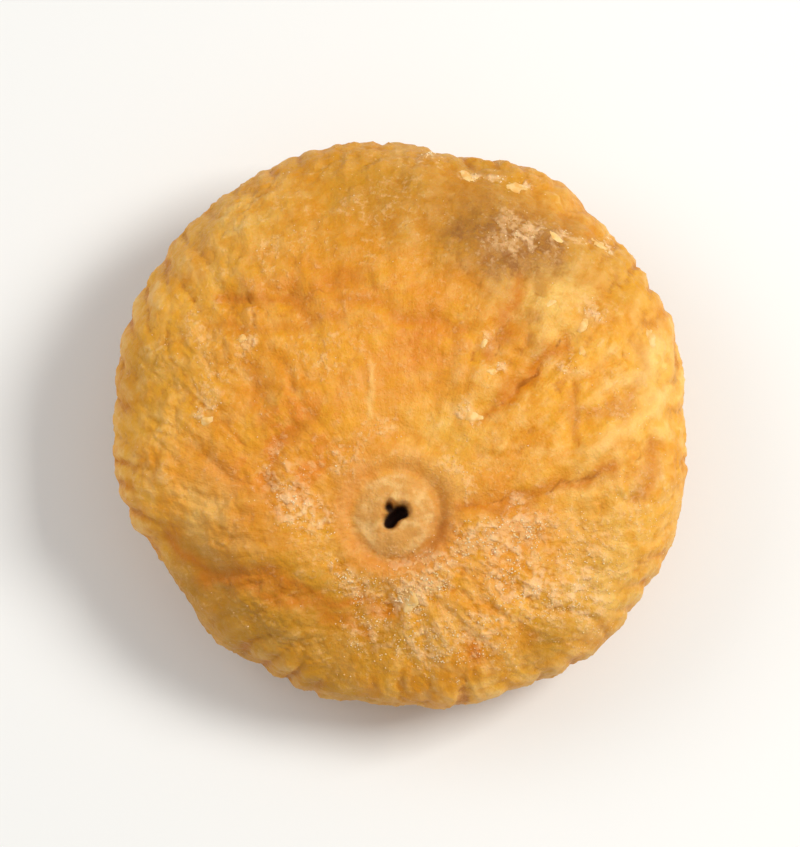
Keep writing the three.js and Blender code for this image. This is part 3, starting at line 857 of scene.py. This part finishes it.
# ochre: partly the skin's olive tone, partly painted shade at the rims and low on the side
ochre = dried.times(dried.mark("ochre"), dried.soft(blotch, 0, 1, 0.6, 0.95))
colour = dried.mix(ochre, colour, linear(178, 122, 14))
# pale: partly paler skin, partly a painted highlight on the right rim
pale = dried.times(dried.mark("pale"), dried.soft(mottle, 0, 1, 0.4, 0.9))
colour = dried.mix(pale, colour, linear(246, 206, 116))
bruise = dried.times(dried.mark("bruise"), dried.soft(speck, 0.3, 0.7, 0.55, 0.9))
bruise = dried.times(bruise, dried.soft(mottle, 0, 1, 1, 0.8))
colour = dried.mix(bruise, colour, linear(158, 102, 36))
# painted shade in the folds and in the side's pleat valleys
fold = dried.times(dried.mark("fold"), dried.soft(speck, 0.3, 0.7, 0.6, 0.95))
colour = dried.mix(fold, colour, linear(200, 116, 2))
# painted highlight along the ridges
colour = dried.mix(dried.times(dried.mark("ridge"), 0.55), colour, linear(248, 206, 124))
print("nodes so far:", len(dried.tree.nodes))

# %% [markdown]
# ## Scar, cracks and crust
# The scar's button is corky and paler; the groove round it is painted darker, as shade. The cracks are
# painted dark brown, as shade in them.
# Sugar that is too fine to be made as grains lies on the skin as a thin crust, and in small lumps
# where there is more of it. These could be separate meshes, but they have no thickness to speak of,
# so they are colours over the skin, with a ragged edge from the same noise.

# %% Colour the scar, the cracks and the sugar crust
ring = dried.times(dried.mark("ring"), 0.3)
colour = dried.mix(ring, colour, linear(224, 146, 84))
corky = dried.mix(island, linear(218, 158, 84), linear(240, 194, 124))
colour = dried.mix(dried.times(dried.mark("button"), 0.75), colour, corky)
# painted shade in the scar's groove
colour = dried.mix(dried.times(dried.mark("groove"), 0.35), colour, linear(160, 92, 40))
# the cracks are painted dark brown, as shade inside them
crack = dried.soft(dried.mark("crack"), 0.2, 1.1)
colour = dried.mix(dried.times(crack, 0.72), colour, linear(148, 80, 10))
colour = dried.mix(dried.times(dried.mark("eye"), 0.7), colour, linear(128, 70, 28))
crumbly = dried.plus(dried.soft(speck, 0.3, 0.7, -0.5, 0.5), dried.soft(mottle, 0, 1, -0.2, 0.2))
crust = dried.soft(dried.plus(dried.mark("bloom"), crumbly), 0.25, 1.15)
colour = dried.mix(dried.times(crust, 0.5), colour, linear(248, 200, 140))
lump = dried.soft(dried.grain(0.9, 1), 0.5, 0.66)
lump = dried.times(lump, dried.soft(dried.mark("bloom"), 0.12, 0.7))
colour = dried.mix(dried.times(lump, 0.56), colour, linear(253, 210, 156))
# painted shade: the deep torn hole is coloured near black
colour = dried.mix(dried.mark("hole"), colour, linear(38, 14, 5))
print("nodes so far:", len(dried.tree.nodes))

# %% [markdown]
# ## The skin's gloss and finest grain
# A dried fig is a little sticky, so its backs shine softly, while sugar and corky scar are dull. Light
# also goes into the skin and comes out again near by, which makes it glow: that is what Subsurface
# does. The bump is only for pores too small for the mesh.

# %% Finish the skin
PORE_SIZE, BUMP_HEIGHT, GLOW_DEPTH = 0.42, 0.12, 0.5  # in millimetres
cells = dried.node("ShaderNodeTexVoronoi", {"Vector": dried.place(), "Scale": 1 / (PORE_SIZE * MM)})
fine_height = dried.grain(0.22, 3, 0.6)
for rough, share in [
    (cells.outputs["Distance"], 0.4),
    (dried.flowing((3, 3, 0.5)), 0.4),
    (crust, 0.6),
    (lump, 1.1),
]:
    fine_height = dried.plus(fine_height, dried.times(rough, share))
bump_inputs = {"Height": fine_height, "Strength": 0.8, "Distance": BUMP_HEIGHT * MM}
bump = dried.node("ShaderNodeBump", bump_inputs).outputs[0]
gloss = dried.soft(speck, 0.3, 0.7, 0.36, 0.6)
dull = dried.maths("MAXIMUM", crust, dried.mark("button"))
dull = dried.plus(dried.times(dull, 0.2), dried.times(crack, 0.4))
roughness = dried.plus(gloss, dull)
dried.finish(
    fig_skin, Base_Color=colour, Roughness=roughness, Normal=bump, Specular_IOR_Level=0.3,
    Subsurface_Weight=0.2, Subsurface_Radius=(1, 0.42, 0.14), Subsurface_Scale=GLOW_DEPTH * MM,
)

# %% [markdown]
# ## Grains of sugar
# The sugar that came out of the fig sits on it as small crystals, most of them in the marked places.
# A particle system could scatter them. Here a fixed set of random addresses is drawn, and the ones in
# sugary places are kept. Where the sugar is rich, its grains are larger too.

# %% Find places for the sugar grains
DRAWN = 120000  # addresses, of which about one in fifty is kept
LOWEST = -0.75  # cosine of the angle down to the lowest grain
STRAY = 0.002  # share that is kept where no sugar is marked
HOLE_RADIUS = 1.6  # no grain lies over the scar's hole
GRAIN_SIZES = (0.035, 0.09)  # half length of the smallest and largest
chance = np.random.default_rng(7)


def sugar_addresses(count):
    down = np.arccos(chance.uniform(LOWEST, 1, count))
    around = chance.uniform(0, 2 * math.pi, count)
    place = fig_surface(down, around)
    sugary = skin_marks(place)["bloom"]
    clump = 0.5 + 0.9 * noise_at(place["smooth"], 0.9, 77)
    chosen = chance.uniform(0, 1, count) < (sugary * clump) ** 1.5 + STRAY
    chosen &= ~(place["is_top"] & (place["away"] < HOLE_RADIUS))
    return place["out"][chosen], place["normal"][chosen], sugary[chosen]


grain_at, grain_out, grain_sugary = sugar_addresses(DRAWN)
grain_count = len(grain_at)
richer = 1 + 0.9 * np.clip(grain_sugary - 0.2, 0, 1)
grain_size = chance.uniform(*GRAIN_SIZES, grain_count) * richer
print(grain_count, "places for grains")

# %% [markdown]
# ## One crystal, many times
# A grain is a small crystal of seven points, whose corners are drawn in or out by chance, so that no
# two are alike. Copies as objects would fill the outliner with thousands of rows. All crystals are
# one mesh instead, so the piece is easy to handle.

# %% Make the sugar grains
UNEVEN = (0.6, 1.3)  # how far a crystal's corners are drawn in or out
SUNK = 0.1  # how high a grain's middle is over the skin, as a share of its size
TURN = 6.28  # all the way round, in radians
CRYSTAL = np.array([
    (1, 0.1, 0), (0.1, 1, 0.1), (-1, 0, 0.1), (0, -0.9, 0),
    (0.25, 0.2, 0.85), (-0.3, -0.2, 0.7), (0, 0, -0.8),
])
CRYSTAL_FACES = np.array([
    (0, 1, 4), (1, 2, 4), (2, 5, 4), (2, 3, 5), (3, 0, 5),
    (0, 4, 5), (1, 0, 6), (2, 1, 6), (3, 2, 6), (0, 3, 6),
])


def turned(points, spin, tip):
    c, s = np.cos(spin)[:, None], np.sin(spin)[:, None]
    x, y, z = points[..., 0], points[..., 1], points[..., 2]
    x, y = c * x - s * y, s * x + c * y
    c, s = np.cos(tip)[:, None], np.sin(tip)[:, None]
    return np.stack([x, c * y - s * z, s * y + c * z], axis=-1)


shapes = CRYSTAL * chance.uniform(*UNEVEN, (grain_count, len(CRYSTAL), 1)) * grain_size[:, None, None]
spins = chance.uniform(0, TURN, grain_count)
tips = chance.uniform(0, TURN, grain_count)
middles = grain_at + grain_out * (SUNK * grain_size)[:, None]
grain_points = (middles[:, None] + turned(shapes, spins, tips)).reshape(-1, 3)
grain_points[:, 2] = np.maximum(grain_points[:, 2], 0)
first_corners = len(CRYSTAL) * np.arange(grain_count)
grain_faces = (CRYSTAL_FACES + first_corners[:, None, None]).reshape(-1, 3)
sugar_grains = make_piece("sugar_grains", grain_points, grain_faces.tolist())
sugar_grains.data.shade_flat()
print(grain_count, "sugar grains,", len(grain_faces), "triangles")

# %% [markdown]
# ## The sugar's finish
# Fruit sugar is clear, but so many tiny faces scatter the light that it looks cream. Glass would be
# the true material and would need very long to render. A cream colour with much light scattered
# inside looks the same at this size, and the skin's orange is already mixed into it.

# %% Finish the sugar
sugar = Finish("fig_sugar")
tint = sugar.soft(sugar.grain(1.2), 0.35, 0.65)
sugar_colour = sugar.mix(tint, linear(246, 198, 128), linear(252, 222, 172))
sugar_roughness = sugar.soft(tint, 0, 1, 0.3, 0.5)
sugar.finish(
    sugar_grains, Base_Color=sugar_colour, Roughness=sugar_roughness,
    Subsurface_Weight=0.4, Subsurface_Radius=(1, 0.7, 0.4), Subsurface_Scale=0.4 * MM,
)

# %% [markdown]
# ## Help for thin pieces
# Flakes and scales lie on the skin, so a helper finds its height at any place, as a mean of its
# nearest points, where a near one counts most. A Shrinkwrap modifier could do that, but it would press
# the piece flat on. Another helper closes a thin piece with a Solidify modifier.

# %% Write the helpers for thin pieces
NEAREST, NEVER_ZERO = 4, 0.02  # points that give the skin's height, mm added to their distance
upper_skin = np.flatnonzero(skin["is_top"])
under_skin = np.flatnonzero(~skin["is_top"])


def thicken(piece, thickness_mm, side):
    thick = piece.modifiers.new("thickness", "SOLIDIFY")
    thick.thickness, thick.offset = thickness_mm * MM, side


def skin_height(flat, side):
    gaps = np.hypot(*(skin["out"][side, :2][None] - flat[:, None]).transpose(2, 0, 1))
    nearest = np.argpartition(gaps, NEAREST, axis=1)[:, :NEAREST]
    weights = 1 / (np.take_along_axis(gaps, nearest, axis=1) + NEVER_ZERO) ** 2
    heights = skin["out"][side[nearest], 2]
    return (weights * heights).sum(axis=1) / weights.sum(axis=1)


print(len(upper_skin), "points on the upper side,", len(under_skin), "on the underside")

# %% [markdown]
# ## Loose flakes of skin
# Where the skin was creased hard, its outermost layer came off in small pale flakes that dried on it
# again. They could be cut from the skin's own mesh, but then they would have its exact relief. Each
# flake here is a low, wavy shield of rings about a middle. Its rim dips into the skin, so its visible
# edge comes out as ragged as that relief.

# %% Make one flake
FLAKE_RINGS, FLAKE_SIDES, FLAKE_THICKNESS = 5, 24, 0.15
FLAKE_RISE, RIM_DIP = 0.07, 0.2  # how high its middle is over the skin, how much lower its rim
TWO_WAVES, THREE_WAVES = 0.16, 0.12  # how much a rim swings in and out, as a share of its size
RIPPLES = (0.09, 0.55, 71)  # height, size, seed
flake_chance = np.random.default_rng(11)


def flake_shield(x, y, half_length, half_width, degrees):
    share = np.repeat(np.arange(1, FLAKE_RINGS + 1) / FLAKE_RINGS, FLAKE_SIDES)
    turn = np.tile(np.arange(FLAKE_SIDES) / FLAKE_SIDES * 2 * math.pi, FLAKE_RINGS)
    phase = flake_chance.uniform(0, TURN, 2)
    ragged = 1 + TWO_WAVES * np.sin(2 * turn + phase[0]) + THREE_WAVES * np.sin(3 * turn + phase[1])
    along = np.concatenate([[0], half_length * share * ragged * np.cos(turn)])
    across = np.concatenate([[0], half_width * share * ragged * np.sin(turn)])
    c, s = math.cos(math.radians(degrees)), math.sin(math.radians(degrees))
    flat = np.stack([x + c * along - s * across, y + s * along + c * across], axis=1)
    rise = FLAKE_RISE - RIM_DIP * np.concatenate([[0], share]) ** 3
    ripples = bumps(np.column_stack([flat, np.full(len(flat), x)]), *RIPPLES)
    return np.column_stack([flat, skin_height(flat, upper_skin) + rise + ripples])


def flake_net(start):
    faces = []
    for i in range(FLAKE_SIDES):
        after = (i + 1) % FLAKE_SIDES
        faces.append((start, start + 1 + i, start + 1 + after))
        for ring in range(FLAKE_RINGS - 1):
            inner, outer = start + 1 + ring * FLAKE_SIDES, start + 1 + (ring + 1) * FLAKE_SIDES
            faces.append((inner + i, outer + i, outer + after, inner + after))
    return faces


print("points of a flake:", 1 + FLAKE_RINGS * FLAKE_SIDES)

# %% [markdown]
# ## All the flakes
# Most of the flakes lie beside the folds and the bruise. They could be scattered by chance, but a few
# large ones are seen one by one, so each has its own row with its place, size and turn, and one loop
# makes them all as one mesh.

# %% Lay the flakes
FLAKES = [  # x, y, half length, half width in mm, degrees that it is turned
    (6.9, 4.2, 0.9, 0.4, 70), (7.6, 1.9, 0.6, 0.35, 20), (15.5, 6.4, 0.8, 0.5, 60),
    (15.3, 4.1, 0.6, 0.4, 80), (6, -2, 1.1, 0.6, 160), (-16.8, -2.1, 0.8, 0.6, 30),
    (-13.7, 4.9, 0.6, 0.4, 90), (0.7, -17.3, 1, 0.8, 60), (5.7, 20.5, 1.2, 0.6, 160),
    (9.8, 19.7, 1.5, 0.6, 165), (17.1, 14.6, 1, 0.6, 130), (12.7, 8.2, 0.8, 0.35, 40),
    (13.3, 14.6, 0.9, 0.5, 140), (21.4, 6, 1, 0.6, 100),
]
flake_points = np.concatenate([flake_shield(*row) for row in FLAKES])
points_each = len(flake_points) // len(FLAKES)
flake_faces = [face for n in range(len(FLAKES)) for face in flake_net(n * points_each)]
skin_flakes = make_piece("skin_flakes", flake_points, flake_faces)
thicken(skin_flakes, FLAKE_THICKNESS, -1)
print(len(FLAKES), "flakes")

# %% [markdown]
# ## The flakes' finish
# Without the syrup under it, loose skin is dry, dull and straw-coloured. An image could give its
# blotches, but noise of two near colours does it too, and never shows a seam.

# %% Finish the flakes
papery = Finish("papery_skin")
paper = papery.soft(papery.grain(0.7), 0.35, 0.65)
flake_colour = papery.mix(paper, linear(237, 176, 90), linear(246, 200, 130))
papery.finish(
    skin_flakes, Base_Color=flake_colour, Roughness=0.6,
    Subsurface_Weight=0.3, Subsurface_Radius=(1, 0.6, 0.3), Subsurface_Scale=0.4 * MM,
)

# %% [markdown]
# ## Scales of the eye
# On the underside the fruit's eye is closed by small brown scales that lean inward like the leaves of
# a shutter. The fig covers them, but the piece may be turned over, so they are made all the same. A
# scale is a small net of points: it starts wide at the pit's rim and narrows to a tip at its middle.

# %% Make the eye's scales
ACROSS, ALONG = 5, 6  # points of a scale's net
SCALE_BASE, SCALE_LENGTH, SCALE_THICKNESS = 2.5, 2.1, 0.12  # its base is that far from the eye's middle
SCALE_HALF_ANGLE, SCALE_NARROWS, SCALE_TWIST = 0.46, 0.35, 0.25  # radians, share of the angle, radians
# how far a scale stands out of the skin: at its base, more at its tip and middle line, and every second
BASE_LIFT, TIP_LIFT, MIDDLE_LIFT, SECOND_LIFT = 0.02, 0.35, 0.16, 0.05
OFF_THE_FLOOR = 0.15


def eye_scale(number):
    share_across, share_along = np.meshgrid(np.linspace(-1, 1, ACROSS), np.linspace(0, 1, ALONG))
    share_across, share_along = share_across.ravel(), share_along.ravel()
    from_eye = SCALE_BASE - SCALE_LENGTH * share_along
    half_angle = SCALE_HALF_ANGLE * (1 - SCALE_NARROWS * share_along**2)
    turn = 2 * math.pi * number / SCALES + half_angle * share_across + SCALE_TWIST * share_along
    flat = np.array(EYE) + from_eye[:, None] * np.stack([np.cos(turn), np.sin(turn)], axis=1)
    lift = BASE_LIFT + TIP_LIFT * share_along + MIDDLE_LIFT * (1 - share_across**2)
    lift = lift + SECOND_LIFT * (number % 2)
    return np.column_stack([flat, skin_height(flat, under_skin) - lift])


scale_points = np.concatenate([eye_scale(number) for number in range(SCALES)])
scale_points[:, 2] = np.maximum(scale_points[:, 2], OFF_THE_FLOOR)
corners = [row * ACROSS + column for row in range(ALONG - 1) for column in range(ACROSS - 1)]
scale_faces = [
    (first + c, first + c + 1, first + c + ACROSS + 1, first + c + ACROSS)
    for first in range(0, len(scale_points), ACROSS * ALONG)
    for c in corners
]
eye_scales = make_piece("eye_scales", scale_points, scale_faces)
thicken(eye_scales, SCALE_THICKNESS, 1)
print(SCALES, "scales, lowest at", round(float(scale_points[:, 2].min()), 2), "mm")

# %% [markdown]
# ## The scales' finish
# Dry scales are brown, like thin wood, and neither shine nor glow. So this finish needs only a
# blotchy colour and a high roughness.

# %% Finish the eye's scales
woody = Finish("woody_scales")
wood = woody.soft(woody.grain(0.8), 0.35, 0.65)
scale_colour = woody.mix(wood, linear(110, 62, 26), linear(168, 110, 52))
woody.finish(eye_scales, Base_Color=scale_colour, Roughness=0.6)

# %% [markdown]
# ## Floor
# The fig lies on a plain pale floor, which shows its shadow and nothing else.

# %% Make the floor
FLOOR_HALF = 2  # metres, so that its edge is far from the fig


def floor_finish(piece):
    plain = Finish("pale_floor")
    plain.finish(piece, Base_Color=(0.86, 0.86, 0.85, 1), Roughness=0.6)


floor_mesh = bpy.data.meshes.new("floor")
floor_corners = [(x * FLOOR_HALF, y * FLOOR_HALF, 0) for x, y in [(-1, -1), (1, -1), (1, 1), (-1, 1)]]
floor_mesh.from_pydata(floor_corners, [], [(0, 1, 2, 3)])
floor = bpy.data.objects.new("floor", floor_mesh)
bpy.context.scene.collection.objects.link(floor)
floor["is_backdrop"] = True
floor_finish(floor)

# %% [markdown]
# ## Light
# Fruit is best lit softly, as in a light tent: a white world all round, one broad lamp from the
# right, a little warm, and a weaker one from the left. Large lamps near by make the soft shadows. A
# sun lamp would be simpler, but its shadows are hard and would make the wrinkles look too deep.

# %% Set the light
MIDDLE = Vector((0, 0, 0.009))  # of the fig, in metres
TENT_STRENGTH = 0.45


def lamp(name, place, size, power, colour):
    light = bpy.data.lights.new(name, "AREA")
    light.size, light.energy, light.color = size, power, colour
    holder = bpy.data.objects.new(name, light)
    holder.location = place
    holder.rotation_euler = (MIDDLE - Vector(place)).to_track_quat("-Z", "Y").to_euler()
    bpy.context.scene.collection.objects.link(holder)


world = bpy.data.worlds.new("light_tent")
world.use_nodes = True
world.node_tree.nodes["Background"].inputs["Color"].default_value = (1, 1, 1, 1)
world.node_tree.nodes["Background"].inputs["Strength"].default_value = TENT_STRENGTH
bpy.context.scene.world = world
lamp("key", place=(0.32, 0.06, 0.39), size=0.18, power=1.92, colour=(1, 0.98, 0.93))
lamp("fill", place=(-0.4, 0.12, 0.36), size=0.4, power=0.8, colour=(1, 0.99, 0.96))
print("lamps:", [light.name for light in bpy.data.lights])

# %% [markdown]
# ## Camera
# The camera looks down steeply, a little from the front, through a long lens. A short lens close by
# would show the fig just as large, but would swell its middle.

# %% Set the camera
ELEVATION = math.radians(76)
DISTANCE, LENS = 0.42, 205  # metres from the fig's middle, focal length in millimetres
camera = bpy.data.objects.new("camera", bpy.data.cameras.new("camera"))
camera.data.lens = LENS
toward = Vector((0, -math.cos(ELEVATION), math.sin(ELEVATION)))
camera.location = MIDDLE + toward * DISTANCE
camera.rotation_euler = (-toward).to_track_quat("-Z", "Y").to_euler()
bpy.context.scene.collection.objects.link(camera)
bpy.context.scene.camera = camera
bpy.context.scene.view_settings.view_transform = "Standard"
print("camera at", [round(v, 3) for v in camera.location])

# %% [markdown]
# ## The two boxes
# The boxes of the solid fig and of the visual fig are printed together. The visual fig has to
# stay in the solid's box.

# %% Print both boxes
visual_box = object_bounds()
boxes = {"cad": cad_box, "visual": visual_box}
boxes = {name: [[float(v) for v in corner] for corner in box] for name, box in boxes.items()}
print(boxes)
